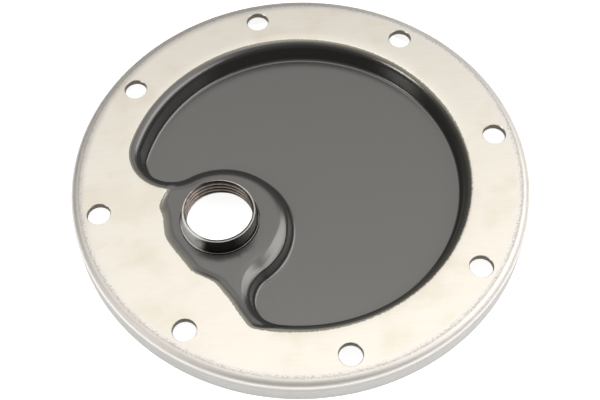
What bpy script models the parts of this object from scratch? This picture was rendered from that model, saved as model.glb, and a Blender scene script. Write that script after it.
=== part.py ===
"""Round pressed-steel cover plate with a kidney-shaped well and an off-centre threaded neck.

The plate lies on the floor of its well: the lowest level is z = 0, and +Z points the way the
neck stands.  The origin is under the centre of the plate and the neck is on the -X side.  The
plate's outline is its own mirror image across the XZ plane; the neck stands a little to one side.
"""
import bpy
import bmesh
import math

MM = 0.001

# ---- driving sizes ----------------------------------------------------------------
# the sheet and its turned-down lip
SHEET = 1.75 * MM
PLATE_RADIUS = 65.0 * MM
RIM_BEND = 2.2 * MM              # outside radius where the flange turns down into the lip
# the bolt circle
BOLT_COUNT = 8
BOLT_EDGE = 7.5 * MM             # bolt circle in from the edge of the plate
BOLT_HOLE_RADIUS = 3.25 * MM     # clears an M6 stud
# the threaded neck
NECK_OFFSET = 26.8 * MM          # plate centre to the axis of the neck, along -X
NECK_ACROSS = 0.85 * MM          # how far that axis stands to the +Y side
THREAD_MAJOR_RADIUS = 10.0 * MM  # M20 x 1.5
THREAD_PITCH = 1.5 * MM
NECK_RIM_WALL = 0.2 * MM         # outside of the neck beyond the thread, at its rim
NECK_BASE_WALL = 1.0 * MM        # the same at the flange face: the neck tapers
NECK_RISE = 4.5 * MM             # flange face up to the rim of the neck
NECK_RIM_LAND = 0.45 * MM        # flat left on the rim outside the entry chamfer
COLLAR_WIDTH = 1.8 * MM          # how far the collar under the sheet stands out
COLLAR_THICKNESS = 1.2 * MM
SEAT_WIDTH = 1.6 * MM            # flat ring on the underside of the collar
# the bead of weld around the collar
BEAD_WIDTH = 1.3 * MM
BEAD_HEIGHT = 1.1 * MM
# the well pressed into the sheet
WELL_DEPTH = 6.2 * MM            # flange face down to the floor of the well
WELL_MARGIN = 11.6 * MM          # foot of the round wall in from the bolt circle
WALL_DRAFT = math.radians(12.0)
FOOT_FILLET = 1.0 * MM           # inside corner between the floor and the wall
BROW_OVER_SHEET = 0.85 * MM      # the brow's rounding on the underside, so it clears the sheet
LOBE_RADIUS = 8.2 * MM           # the two tips of the kidney, at the foot of the wall
LOBE_SPREAD = 1.3                # the tips widen this much faster with height than the rest
INLET_ROOM = 3.55 * MM           # from the bead to the back of the wall's foot
INLET_SPREAD = 1.4
# clearance left between neighbouring pieces
FIT_GAP = 0.3 * MM

# ---- facet counts -----------------------------------------------------------------
INLET_STEPS = 12
LOBE_STEPS = 10
ROUND_STEPS = 30
RIM_STEPS = 96
FOOT_STEPS = 3
BROW_STEPS = 4
BEND_STEPS = 4
BORE_STEPS = 48
BOLT_HOLE_STEPS = 24

# ---- sizes that follow ------------------------------------------------------------
FLANGE_TOP = SHEET + WELL_DEPTH
FLANGE_UNDERSIDE = FLANGE_TOP - SHEET
NECK_TOP = FLANGE_TOP + NECK_RISE
BOLT_CIRCLE_RADIUS = PLATE_RADIUS - BOLT_EDGE
WELL_RADIUS = BOLT_CIRCLE_RADIUS - WELL_MARGIN
BROW_FILLET = SHEET + BROW_OVER_SHEET
NECK_AXIS = (-NECK_OFFSET, NECK_ACROSS)
THREAD_MINOR_RADIUS = THREAD_MAJOR_RADIUS - 0.541 * THREAD_PITCH
NECK_RIM_RADIUS = THREAD_MAJOR_RADIUS + NECK_RIM_WALL
NECK_BASE_RADIUS = THREAD_MAJOR_RADIUS + NECK_BASE_WALL
NECK_HOLE_RADIUS = NECK_BASE_RADIUS + FIT_GAP
COLLAR_RADIUS = NECK_BASE_RADIUS + COLLAR_WIDTH
COLLAR_TOP = FLANGE_UNDERSIDE - FIT_GAP
COLLAR_BOTTOM = COLLAR_TOP - COLLAR_THICKNESS
SEAT_INNER_RADIUS = COLLAR_RADIUS - SEAT_WIDTH
BEAD_INNER_RADIUS = COLLAR_RADIUS + FIT_GAP
BEAD_RADIUS = BEAD_INNER_RADIUS + BEAD_WIDTH
INLET_RADIUS = BEAD_RADIUS + SHEET + INLET_ROOM


def clear_scene():
    for old in list(bpy.data.objects):
        bpy.data.objects.remove(old, do_unlink=True)


def new_collection(name):
    made = bpy.data.collections.new(name)
    bpy.context.scene.collection.children.link(made)
    return made


def new_material(name, colour, roughness, metallic):
    made = bpy.data.materials.new(name)
    made.use_nodes = True
    shader = made.node_tree.nodes["Principled BSDF"]
    shader.inputs["Base Color"].default_value = (*colour, 1.0)
    shader.inputs["Roughness"].default_value = roughness
    shader.inputs["Metallic"].default_value = metallic
    return made


def add_object(name, mesh, collection, material=None):
    made = bpy.data.objects.new(name, mesh)
    collection.objects.link(made)
    if material:
        mesh.materials.append(material)
    return made


def add_cutter(name, mesh, collection):
    made = add_object(name, mesh, collection)
    made.hide_render = True
    made.display_type = "WIRE"
    return made


def cut_with(target, cutters):
    """Take every object of a collection away from the target."""
    step = target.modifiers.new("cut", "BOOLEAN")
    step.operation = "DIFFERENCE"
    step.solver = "EXACT"
    step.operand_type = "COLLECTION"
    step.collection = cutters


def smooth(obj, sharp_angle):
    obj.data.shade_smooth()
    obj.data.set_sharp_from_angle(angle=sharp_angle)


# ---- plan outlines ----------------------------------------------------------------
def arc(centre, radius, start, end, steps):
    """Points on an arc in plan, both ends included."""
    angles = [start + (end - start) * i / steps for i in range(steps + 1)]
    return [(centre[0] + radius * math.cos(a), centre[1] + radius * math.sin(a)) for a in angles]


def mirrored_loop(half):
    """Close a half outline that starts and ends on the X axis."""
    return half + [(x, -y) for x, y in reversed(half[1:-1])]


def well_radii(offset):
    """Radii of the round side, the lobes and the inlet, at a distance out from the wall's foot."""
    return (WELL_RADIUS + offset,
            LOBE_RADIUS + LOBE_SPREAD * offset,
            INLET_RADIUS - INLET_SPREAD * offset)


def lobe_centre(offset):
    """Where a lobe touches both the round side from inside and the inlet from outside."""
    side, lobe, inlet = well_radii(offset)
    reach = side - lobe
    span = inlet + lobe
    along = (reach ** 2 - span ** 2 + NECK_OFFSET ** 2) / (2 * NECK_OFFSET)
    across = math.sqrt(reach ** 2 - along ** 2)
    return along, across


def well_outline(offset):
    """Kidney outline of three touching arcs: inlet about the neck, lobe, and round side."""
    side, lobe, inlet = well_radii(offset)
    along, across = lobe_centre(offset)
    inlet_end = math.atan2(across, NECK_OFFSET - along)
    lobe_end = math.atan2(across, -along)
    half = arc((-NECK_OFFSET, 0.0), inlet, 0.0, inlet_end, INLET_STEPS)
    half += arc((-along, across), lobe, inlet_end + math.pi, lobe_end, LOBE_STEPS)[1:]
    half += arc((0.0, 0.0), side, lobe_end, 0.0, ROUND_STEPS)[1:]
    return mirrored_loop(half)


def circle(radius):
    return arc((0.0, 0.0), radius, 0.0, 2 * math.pi, RIM_STEPS)[:-1]


# ---- cover plate ------------------------------------------------------------------
def wall_profile():
    """(offset, height) points from the floor up the drafted wall to the flange face."""
    lean = math.pi / 2 - WALL_DRAFT
    tangent = math.tan(lean / 2)
    foot_start = -FOOT_FILLET * tangent
    brow_end = WELL_DEPTH * math.tan(WALL_DRAFT) + BROW_FILLET * tangent
    points = []
    for i in range(FOOT_STEPS + 1):
        a = lean * i / FOOT_STEPS
        points.append((foot_start + FOOT_FILLET * math.sin(a),
                       SHEET + FOOT_FILLET * (1 - math.cos(a))))
    for i in range(BROW_STEPS + 1):
        a = lean * (1 - i / BROW_STEPS)
        points.append((brow_end - BROW_FILLET * math.sin(a),
                       FLANGE_TOP - BROW_FILLET * (1 - math.cos(a))))
    return points


def rim_profile():
    """(radius, height) points from the edge of the flange face round the bend and down the lip."""
    points = []
    for i in range(BEND_STEPS + 1):
        a = math.pi / 2 * i / BEND_STEPS
        points.append((PLATE_RADIUS - RIM_BEND * (1 - math.sin(a)),
                       FLANGE_TOP - RIM_BEND * (1 - math.cos(a))))
    points.append((PLATE_RADIUS, 0.0))
    return points


def add_ring(shell, outline, height):
    """A closed loop of points with its edges."""
    verts = [shell.verts.new((x, y, height)) for x, y in outline]
    edges = [shell.edges.new((a, b)) for a, b in zip(verts, verts[1:] + verts[:1])]
    return verts, edges


def bridge(shell, inner, outer):
    """Four-sided faces between two loops of equal count."""
    for i in range(len(inner)):
        shell.faces.new((inner[i - 1], inner[i], outer[i], outer[i - 1]))


def plate_surface():
    """The plate's upper surface: floor, wall of the well, flat flange, rim bend and lip."""
    shell = bmesh.new()
    wall = [add_ring(shell, well_outline(offset), z) for offset, z in wall_profile()]
    rim = [add_ring(shell, circle(radius), z) for radius, z in rim_profile()]
    floor = shell.faces.new(wall[0][0])
    for rings in (wall, rim):
        for (inner, _), (outer, _) in zip(rings, rings[1:]):
            bridge(shell, inner, outer)
    flange_edges = wall[-1][1] + rim[0][1]
    bmesh.ops.triangle_fill(shell, edges=flange_edges, normal=(0, 0, 1), use_beauty=True)
    bmesh.ops.recalc_face_normals(shell, faces=shell.faces)
    if floor.normal.z < 0:
        bmesh.ops.reverse_faces(shell, faces=shell.faces)
    mesh = bpy.data.meshes.new("cover_plate")
    shell.to_mesh(mesh)
    shell.free()
    return mesh


def drill(name, radius, steps, x, y, collection):
    """A cylinder through the flange."""
    shape = bmesh.new()
    bmesh.ops.create_cone(shape, cap_ends=True, segments=steps, radius1=radius, radius2=radius,
                          depth=4 * SHEET)
    mesh = bpy.data.meshes.new(name)
    shape.to_mesh(mesh)
    shape.free()
    cutter = add_cutter(name, mesh, collection)
    cutter.location = (x, y, FLANGE_TOP - SHEET / 2)


def make_cover_plate(collection, cutters, material):
    plate = add_object("cover_plate", plate_surface(), collection, material)
    smooth(plate, math.radians(35))
    thicken = plate.modifiers.new("sheet", "SOLIDIFY")
    thicken.thickness = SHEET
    thicken.offset = -1.0
    thicken.use_even_offset = True
    for k in range(BOLT_COUNT):
        angle = (k + 0.5) * 2 * math.pi / BOLT_COUNT
        drill(f"bolt_drill_{k + 1}", BOLT_HOLE_RADIUS, BOLT_HOLE_STEPS,
              BOLT_CIRCLE_RADIUS * math.cos(angle), BOLT_CIRCLE_RADIUS * math.sin(angle), cutters)
    drill("neck_drill", NECK_HOLE_RADIUS, BORE_STEPS, *NECK_AXIS, cutters)
    cut_with(plate, cutters)
    return plate


# ---- turned pieces ----------------------------------------------------------------
def turned(name, profile, collection, material):
    """Spin a closed (radius, height) outline, listed down its outer side, about the neck's axis."""
    mesh = bpy.data.meshes.new(name)
    count = len(profile)
    edges = [(i, (i + 1) % count) for i in range(count)]
    mesh.from_pydata([(r, 0.0, z) for r, z in profile], edges, [])
    obj = add_object(name, mesh, collection, material)
    obj.location.xy = NECK_AXIS
    turn = obj.modifiers.new("turn", "SCREW")
    turn.steps = BORE_STEPS
    turn.render_steps = BORE_STEPS
    turn.use_merge_vertices = True
    turn.merge_threshold = 0.00001
    turn.use_smooth_shade = False
    return obj


def thread_cutter(collection):
    """One long right-handed groove that starts below the neck and ends above it."""
    groove_inner = THREAD_MINOR_RADIUS - 0.2 * MM
    groove_outer = THREAD_MAJOR_RADIUS - 0.1 * MM
    half_mouth = 0.44 * THREAD_PITCH
    half_root = 0.08 * THREAD_PITCH
    start = COLLAR_BOTTOM - THREAD_PITCH
    outline = [(groove_outer, start + half_root), (groove_outer, start - half_root),
               (groove_inner, start - half_mouth), (groove_inner, start + half_mouth)]
    mesh = bpy.data.meshes.new("thread_cutter")
    mesh.from_pydata([(r, 0.0, z) for r, z in outline], [], [(0, 1, 2, 3)])
    cutter = add_cutter("thread_cutter", mesh, collection)
    cutter.location.xy = NECK_AXIS
    wind = cutter.modifiers.new("wind", "SCREW")
    wind.steps = BORE_STEPS
    wind.render_steps = BORE_STEPS
    wind.screw_offset = THREAD_PITCH
    wind.iterations = math.ceil((NECK_TOP - start) / THREAD_PITCH) + 1
    return cutter


def make_threaded_neck(collection, cutters, material):
    seat_depth = 1.2 * (SEAT_INNER_RADIUS - THREAD_MINOR_RADIUS)
    entry_radius = NECK_RIM_RADIUS - NECK_RIM_LAND
    entry_depth = 0.5 * (entry_radius - THREAD_MINOR_RADIUS)
    profile = [
        (NECK_RIM_RADIUS, NECK_TOP),
        (NECK_BASE_RADIUS, FLANGE_TOP),
        (NECK_BASE_RADIUS, COLLAR_TOP),
        (COLLAR_RADIUS, COLLAR_TOP),
        (COLLAR_RADIUS, COLLAR_BOTTOM),
        (SEAT_INNER_RADIUS, COLLAR_BOTTOM),
        (THREAD_MINOR_RADIUS, COLLAR_BOTTOM + seat_depth),
        (THREAD_MINOR_RADIUS, NECK_TOP - entry_depth),
        (entry_radius, NECK_TOP),
    ]
    neck = turned("threaded_neck", profile, collection, material)
    thread_cutter(cutters)
    cut_with(neck, cutters)
    return neck


def make_weld_bead(collection, material):
    shoulder = (BEAD_INNER_RADIUS + 0.6 * BEAD_WIDTH, COLLAR_TOP - 0.6 * BEAD_HEIGHT)
    profile = [
        (BEAD_INNER_RADIUS, COLLAR_TOP),
        (BEAD_RADIUS, COLLAR_TOP),
        shoulder,
        (BEAD_INNER_RADIUS, COLLAR_TOP - BEAD_HEIGHT),
    ]
    return turned("weld_bead", profile, collection, material)


def build():
    clear_scene()
    home = new_collection("threaded_cover_plate")
    plate_cutters = new_collection("plate_cutters")
    neck_cutters = new_collection("neck_cutters")
    plate_cutters.hide_render = True
    neck_cutters.hide_render = True
    make_cover_plate(home, plate_cutters, new_material("sheet_steel", (0.62, 0.60, 0.55), 0.38, 1.0))
    make_threaded_neck(home, neck_cutters, new_material("neck_steel", (0.45, 0.43, 0.40), 0.30, 1.0))
    make_weld_bead(home, new_material("bead_metal", (0.50, 0.46, 0.40), 0.50, 1.0))


build()
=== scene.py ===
# %% [markdown]
# # A pressed steel cover plate with a threaded neck
# This lesson dresses three solid pieces of a small steel cover: the round plate with its
# kidney-shaped well, the threaded neck that stands on it, and the bead of weld underneath.
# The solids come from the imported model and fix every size. Here each of them is replaced by a
# finer surface that numpy works out from a formula, and each surface gets its own finish.

# %% Load the solid model and keep its box
import math

import bmesh
import bpy
import numpy as np
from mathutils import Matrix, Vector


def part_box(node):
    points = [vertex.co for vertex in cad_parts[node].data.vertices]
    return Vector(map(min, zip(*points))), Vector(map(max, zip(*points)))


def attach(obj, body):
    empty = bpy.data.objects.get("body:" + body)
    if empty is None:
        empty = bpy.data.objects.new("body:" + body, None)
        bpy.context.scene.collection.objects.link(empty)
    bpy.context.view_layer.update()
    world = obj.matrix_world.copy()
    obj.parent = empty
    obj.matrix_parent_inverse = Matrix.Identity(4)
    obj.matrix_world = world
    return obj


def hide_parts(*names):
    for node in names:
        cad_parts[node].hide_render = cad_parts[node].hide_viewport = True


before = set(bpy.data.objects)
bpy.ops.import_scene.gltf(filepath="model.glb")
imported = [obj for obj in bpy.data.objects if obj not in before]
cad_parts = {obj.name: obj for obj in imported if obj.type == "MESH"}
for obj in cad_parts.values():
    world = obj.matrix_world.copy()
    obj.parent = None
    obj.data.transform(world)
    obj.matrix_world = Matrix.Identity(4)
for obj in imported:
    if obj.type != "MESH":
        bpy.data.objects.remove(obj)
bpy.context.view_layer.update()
print("solid pieces:", sorted(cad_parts))

# %% [markdown]
# ## Sizes
# All lengths below are millimetres. What the solids can tell is read from their boxes, so the
# surfaces follow the model: the plate's radius and height, where the neck stands and how high,
# how far its collar and the weld reach. The rest are the same shop dimensions that the solid
# was drawn with: sheet thickness, bend and fillet radii, the outline of the well.

# %% Sizes of the plate, the neck and the well
MM = 0.001


def box_mm(node):
    """Lowest and highest corner of a solid piece, in millimetres."""
    low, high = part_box(node)
    return np.array(low) / MM, np.array(high) / MM


plate_low, plate_high = box_mm("cover_plate")
neck_low, neck_high = box_mm("threaded_neck")
bead_low, bead_high = box_mm("weld_bead")

PLATE_RADIUS = (plate_high[0] - plate_low[0]) / 2
FLANGE_TOP = plate_high[2]
NECK_OFFSET = -(neck_low[0] + neck_high[0]) / 2
NECK_ACROSS = (neck_low[1] + neck_high[1]) / 2
NECK_TOP = neck_high[2]
COLLAR_BOTTOM = neck_low[2]
COLLAR_RADIUS = (neck_high[1] - neck_low[1]) / 2
BEAD_RADIUS = (bead_high[1] - bead_low[1]) / 2
BEAD_BOTTOM = bead_low[2]

SHEET = 1.75
RIM_BEND = 2.2
BEND_START = PLATE_RADIUS - RIM_BEND
BOLT_COUNT = 8
BOLT_EDGE = 7.5
BOLT_CIRCLE_RADIUS = PLATE_RADIUS - BOLT_EDGE
BOLT_HOLE_RADIUS = 3.25
WELL_DEPTH = FLANGE_TOP - SHEET
WELL_MARGIN = 11.6
WELL_RADIUS = BOLT_CIRCLE_RADIUS - WELL_MARGIN
WALL_DRAFT = 12.0
WALL_LEAN = math.radians(90.0 - WALL_DRAFT)
FOOT_FILLET = 1.0
BROW_FILLET = 2.6
LOBE_RADIUS = 8.2
LOBE_SPREAD = 1.3
INLET_RADIUS = 19.7
INLET_SPREAD = 1.4
print(f"plate {2 * PLATE_RADIUS:.1f} across, well {WELL_DEPTH:.2f} deep")
print(f"neck {NECK_OFFSET:.1f} off centre and {NECK_ACROSS:.2f} to one side")

# %% [markdown]
# ## From a grid of points to a mesh
# Every piece here is a sheet of points laid out in rows and columns. If each row closes on
# itself, the sheet is a sleeve; if the rows close too, it is a ring. One helper turns such an
# array into a mesh, so that a piece is nothing but the formula for its points.

# %% Grid to mesh


def grid_faces(rows, columns, rows_close):
    """Corner numbers of the quads of a sleeve whose columns close, and whose rows may close too."""
    row = np.arange(rows if rows_close else rows - 1)[:, None]
    column = np.arange(columns)[None, :]
    above = (row + 1) % rows
    beside = (column + 1) % columns
    corners = [row * columns + column, row * columns + beside,
               above * columns + beside, above * columns + column]
    return np.stack(np.broadcast_arrays(*corners), axis=-1).reshape(-1, 4)


def mesh_from_grid(name, points, rows_close=False):
    """Mesh of a (rows, columns, 3) array of points in millimetres."""
    rows, columns, _ = points.shape
    faces = grid_faces(rows, columns, rows_close)
    mesh = bpy.data.meshes.new(name)
    mesh.vertices.add(rows * columns)
    mesh.vertices.foreach_set("co", (points * MM).astype(np.float32).ravel())
    mesh.loops.add(faces.size)
    mesh.loops.foreach_set("vertex_index", faces.astype(np.int32).ravel())
    mesh.polygons.add(len(faces))
    mesh.polygons.foreach_set("loop_start", np.arange(0, faces.size, 4, dtype=np.int32))
    mesh.update(calc_edges=True)
    mesh.validate()
    return mesh


def new_piece(name, mesh):
    """An object in the scene at the origin, with its place in its mesh."""
    piece = bpy.data.objects.new(name, mesh)
    bpy.context.scene.collection.objects.link(piece)
    return piece


def smooth_step(value, low, high):
    """0 below low, 1 above high, and the curve 3t^2 - 2t^3 between them."""
    t = np.clip((value - low) / (high - low), 0.0, 1.0)
    return t * t * (3 - 2 * t)


# %% [markdown]
# ## The outline of the well
# The well is pressed by a kidney-shaped punch. Its outline is three arcs that touch: the round
# side about the plate's centre, a lobe at each tip, and the inlet that bends around the neck.
# Going up the wall the outline grows outward, so each radius is a function of one number, the
# distance out from the foot of the wall. The other number says how far round the outline a
# point lies. Half the kidney is worked out and the other half is its mirror image.

# %% Outline of the kidney
ARC_COLUMNS = 84
LOBE_COLUMNS = 44


def lobe_centre(side, lobe, inlet):
    """Where the lobe touches the round side from inside and the inlet from outside: a triangle
    whose sides are the plate centre to the neck, side - lobe, and inlet + lobe."""
    reach = side - lobe
    span = inlet + lobe
    along = (reach ** 2 - span ** 2 + NECK_OFFSET ** 2) / (2 * NECK_OFFSET)
    return -along, np.sqrt(reach ** 2 - along ** 2)


def mirrored(half_x, half_y):
    """A half outline from the X axis to the X axis, joined to its mirror image."""
    x = np.concatenate([half_x, half_x[:, -2:0:-1]], axis=1)
    y = np.concatenate([half_y, -half_y[:, -2:0:-1]], axis=1)
    return x, y


def kidney(offset):
    """Rows of outline points, one row for each distance out from the wall's foot. Each arc is
    centre + radius * (cos a, sin a) with a running evenly from one touching point to the next."""
    offset = np.atleast_1d(offset)[:, None]
    side = WELL_RADIUS + offset
    lobe = LOBE_RADIUS + LOBE_SPREAD * offset
    inlet = INLET_RADIUS - INLET_SPREAD * offset
    lobe_x, lobe_y = lobe_centre(side, lobe, inlet)
    inlet_end = np.arctan2(lobe_y, lobe_x + NECK_OFFSET)
    lobe_end = np.arctan2(lobe_y, lobe_x)
    along_arc = np.arange(ARC_COLUMNS)[None, :] / ARC_COLUMNS
    along_lobe = np.arange(LOBE_COLUMNS)[None, :] / LOBE_COLUMNS
    inlet_angle = inlet_end * along_arc
    lobe_angle = inlet_end + np.pi + (lobe_end - inlet_end - np.pi) * along_lobe
    side_angle = lobe_end * (1 - np.arange(ARC_COLUMNS + 1)[None, :] / ARC_COLUMNS)
    half_x = np.concatenate([-NECK_OFFSET + inlet * np.cos(inlet_angle),
                             lobe_x + lobe * np.cos(lobe_angle),
                             side * np.cos(side_angle)], axis=1)
    half_y = np.concatenate([inlet * np.sin(inlet_angle),
                             lobe_y + lobe * np.sin(lobe_angle),
                             side * np.sin(side_angle)], axis=1)
    return mirrored(half_x, half_y)


def spine():
    """The middle line of the kidney: an arc through both lobe centres and the middle of the well.
    Inlet and side columns meet on it in pairs, and all columns of a lobe meet at its end."""
    lobe_x, lobe_y = lobe_centre(WELL_RADIUS, LOBE_RADIUS, INLET_RADIUS)
    middle = (WELL_RADIUS + INLET_RADIUS - NECK_OFFSET) / 2
    centre = (middle ** 2 - lobe_x ** 2 - lobe_y ** 2) / (2 * (middle - lobe_x))
    radius = middle - centre
    end = math.atan2(lobe_y, lobe_x - centre)
    share = np.concatenate([np.arange(ARC_COLUMNS) / ARC_COLUMNS, np.ones(LOBE_COLUMNS),
                            1 - np.arange(ARC_COLUMNS + 1) / ARC_COLUMNS])[None, :]
    return mirrored(centre + radius * np.cos(end * share), radius * np.sin(end * share))


print("columns round the kidney:", kidney(0.0)[0].size)

# %% [markdown]
# ## The land around the neck
# The dark coat stays on a patch of the flange around the neck, because the sheet lies a third
# of a millimetre lower there and the grinding of the flange passed over it. The patch has a
# soft edge of its own on its outer side. Its edge is written as x, a function of y: a wide
# nose, drawn in on both flanks, that runs out into the brow of the well.

# %% Edge of the land and how deep it lies
LAND_DEPTH = 0.35
LAND_SLOPE = 1.9
NOSE_X = -42.0
FLANK_STEP = 3.6
UPPER_END = 13.2
LOWER_END = -31.0
LAND_INNER_X = -5.0


def land_edge(y):
    """x of the land's outer edge: a nose that steps in on both flanks and closes towards the
    well past its upper and lower end, with a slight wave along it."""
    flanks = FLANK_STEP * (smooth_step(y, 3.5, 14.0) + smooth_step(-y, 7.0, 16.0))
    upper_close = 0.42 * np.maximum(y - UPPER_END, 0.0) ** 1.7
    lower_close = 0.45 * np.maximum(LOWER_END - y, 0.0) ** 1.6
    wave = 0.12 * np.sin(0.42 * y + 4.2)
    return NOSE_X + flanks + upper_close + lower_close + wave


def land_reach(x, y):
    """How far a point lies inside the land, in millimetres; below zero outside it."""
    return np.minimum(x - land_edge(y), LAND_INNER_X - x)


def land_dip(x, y):
    """Depth of the land under the flange: a smooth step along the land's edge."""
    return LAND_DEPTH * smooth_step(land_reach(x, y), 0.0, LAND_SLOPE)


for probe in (-20.0, 0.0, 12.0):
    print(f"land edge at y = {probe:5.1f}: x = {land_edge(np.array(probe)):.2f}")

# %% [markdown]
# ## The plate's upper surface
# On the real plate this is one sheet of steel: floor, drafted wall, flat flange, bent rim and
# lip. So it is one grid too. The columns run outward from the middle of the well to the foot
# of the lip, and the rows follow the kidney first and the round rim later. Between the two,
# each column is a straight line over the flange, with its rows crowded where the land ends.

# %% Rows of the wall, the flange and the rim
FLOOR_ROWS = 7
FOOT_ROWS = 7
BROW_ROWS = 13
INNER_ROWS = 15
OUTER_ROWS = 20
BEND_ROWS = 11
LIP_GROOVE_DEPTH = 0.13
LIP_GROOVE_HEIGHT = 5.35
LIP_GROOVE_WIDTH = 0.22
GROOVE_ROOM = 0.5
FLANGE_DISH = 0.06
FLANGE_DISH_WIDTH = 2.4

WALL_TANGENT = math.tan(WALL_LEAN / 2)
BROW_END = WELL_DEPTH / math.tan(WALL_LEAN) + BROW_FILLET * WALL_TANGENT


def wall_rows():
    """Distance out and height of each row: an arc of the foot's radius turning up into the wall,
    then an arc of the brow's radius turning flat again."""
    foot = np.linspace(0.0, WALL_LEAN, FOOT_ROWS + 1)
    brow = np.linspace(WALL_LEAN, 0.0, BROW_ROWS + 1)
    out = np.concatenate([FOOT_FILLET * (np.sin(foot) - WALL_TANGENT),
                          BROW_END - BROW_FILLET * np.sin(brow)])
    height = np.concatenate([SHEET + FOOT_FILLET * (1 - np.cos(foot)),
                             FLANGE_TOP - BROW_FILLET * (1 - np.cos(brow))])
    return out, height


print(f"the wall takes {BROW_END:.2f} from its foot to the end of the brow")

# %% [markdown]
# ## The ramp beside the neck
# On one side of the inlet the brow is not round. The punch left a flat slope there, a ramp that
# ends in a tight bend at the wall. The rows of the brow are laid along that other profile, and
# a share for each column says how much of it the column takes, so that it fades in and out.

# %% Ramp profile and where it lies
RAMP_TOP = 3.0
RAMP_FOOT = 0.8
RAMP_ANGLE = math.radians(29.0)
RAMP_FADE_IN = (30, 60)
RAMP_FADE_OUT = (ARC_COLUMNS + 6, ARC_COLUMNS + 26)


def ramped_wall_rows():
    """The same rows where the brow is a ramp: the top of the wall, a tight bend, a straight slope
    at the ramp's angle, and a soft kink where it meets the flat. The profile is a line through
    marks of (distance out, height), and its rows are shared out evenly between the marks. The
    inlet's edge moves by more than the distance out, so the drop is worked out from that."""
    out, height = wall_rows()
    run = RAMP_TOP - RAMP_FOOT
    drop = INLET_SPREAD * run * math.tan(RAMP_ANGLE)
    ramp_low = FLANGE_TOP - drop
    marks = np.array([(RAMP_FOOT - 0.22, ramp_low - 1.0), (RAMP_FOOT - 0.15, ramp_low - 0.6),
                      (RAMP_FOOT - 0.02, ramp_low - 0.25), (RAMP_FOOT + 0.25, ramp_low + 0.03),
                      (RAMP_FOOT + 0.6, FLANGE_TOP - drop * (1 - 0.6 / run)),
                      (RAMP_TOP - 0.15, FLANGE_TOP - drop * 0.15 / run),
                      (RAMP_TOP + 0.1, FLANGE_TOP), (BROW_END, FLANGE_TOP)])
    share = np.linspace(0.0, 1.0, BROW_ROWS + 1)
    knots = np.linspace(0.0, 1.0, len(marks))
    out[-BROW_ROWS - 1:] = np.interp(share, knots, marks[:, 0])
    height[-BROW_ROWS - 1:] = np.interp(share, knots, marks[:, 1])
    return out, height


def ramp_share():
    """How much of the ramp each column takes: on the -Y side it grows along the inlet and is
    gone a little past the middle of the lobe, and on the +Y side it is nothing."""
    half = np.arange(2 * ARC_COLUMNS + LOBE_COLUMNS + 1)
    share = smooth_step(half, *RAMP_FADE_IN) * (1 - smooth_step(half, *RAMP_FADE_OUT))
    return np.concatenate([0 * share, share[-2:0:-1]])[None, :, None]


print(f"columns that take some of the ramp: {np.count_nonzero(ramp_share())}")

# %% [markdown]
# ## From the floor of the well to the foot of the lip
# The wall's rows need a floor inside them and a flange, a bend and a lip outside them. The
# flange is the part that changes most across its width, because the land's edge runs over it.

# %% Floor, flange and rim
INLET_RIM_ANGLE = math.radians(12.0)
CROSSING_ROUNDS = 12
CROSSING_LOW = 0.14
CROSSING_HIGH = 0.9
INNER_CROWDING = 1.8
OUTER_CROWDING = 1.5


def floor_points(foot_x, foot_y):
    """Rows from the spine to the foot of the wall: straight mixes of the two."""
    spine_x, spine_y = spine()
    share = (np.arange(FLOOR_ROWS) / FLOOR_ROWS)[:, None]
    x = spine_x * (1 - share) + foot_x * share
    y = spine_y * (1 - share) + foot_y * share
    return np.stack([x, y, np.full_like(x, SHEET)], axis=-1)


def rim_angles():
    """Angle about the plate's centre where each column crosses the rim. Inlet columns share a
    few degrees beside the -X axis, and side columns run straight outward."""
    inlet_share = math.pi - INLET_RIM_ANGLE
    _, lobe_y = lobe_centre(WELL_RADIUS + BROW_END, LOBE_RADIUS + LOBE_SPREAD * BROW_END,
                            INLET_RADIUS - INLET_SPREAD * BROW_END)
    reach = WELL_RADIUS + BROW_END - LOBE_RADIUS - LOBE_SPREAD * BROW_END
    lobe_end = math.pi - math.asin(lobe_y / reach)
    half = np.concatenate([np.linspace(math.pi, inlet_share, ARC_COLUMNS, endpoint=False),
                           np.linspace(inlet_share, lobe_end, LOBE_COLUMNS, endpoint=False),
                           np.linspace(lobe_end, 0.0, ARC_COLUMNS + 1)])
    return np.concatenate([half, -half[-2:0:-1]])


def flange_points(brow_x, brow_y, angle):
    """Rows from the brow to the rim. Each column is brow + t * (rim - brow). Its rows crowd near
    the t where the column crosses the land's edge, which a few rounds of substitution find."""
    rim_x, rim_y = BEND_START * np.cos(angle), BEND_START * np.sin(angle)
    travel = np.minimum(rim_x - brow_x, -1.0)
    crossing = np.full_like(brow_x, 0.5)
    for _ in range(CROSSING_ROUNDS):
        edge_x = land_edge(brow_y + crossing * (rim_y - brow_y))
        found = np.clip((edge_x - brow_x) / travel, 0.0, CROSSING_HIGH)
        crossing = found * 0.5 + crossing * 0.5
    crossing = np.maximum(crossing, CROSSING_LOW)
    inner = 1 - (1 - np.arange(1, INNER_ROWS + 1) / INNER_ROWS)[:, None] ** INNER_CROWDING
    outer = (np.arange(1, OUTER_ROWS + 1) / OUTER_ROWS)[:, None] ** OUTER_CROWDING
    t = np.concatenate([crossing * inner, crossing + (1 - crossing) * outer])
    x = brow_x + t * (rim_x - brow_x)
    y = brow_y + t * (rim_y - brow_y)
    gone = np.hypot(x - brow_x, y - brow_y)
    dish = FLANGE_DISH * np.clip(1 - gone / FLANGE_DISH_WIDTH, 0.0, 1.0) ** 2
    return np.stack([x, y, FLANGE_TOP - dish], axis=-1)


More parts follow.
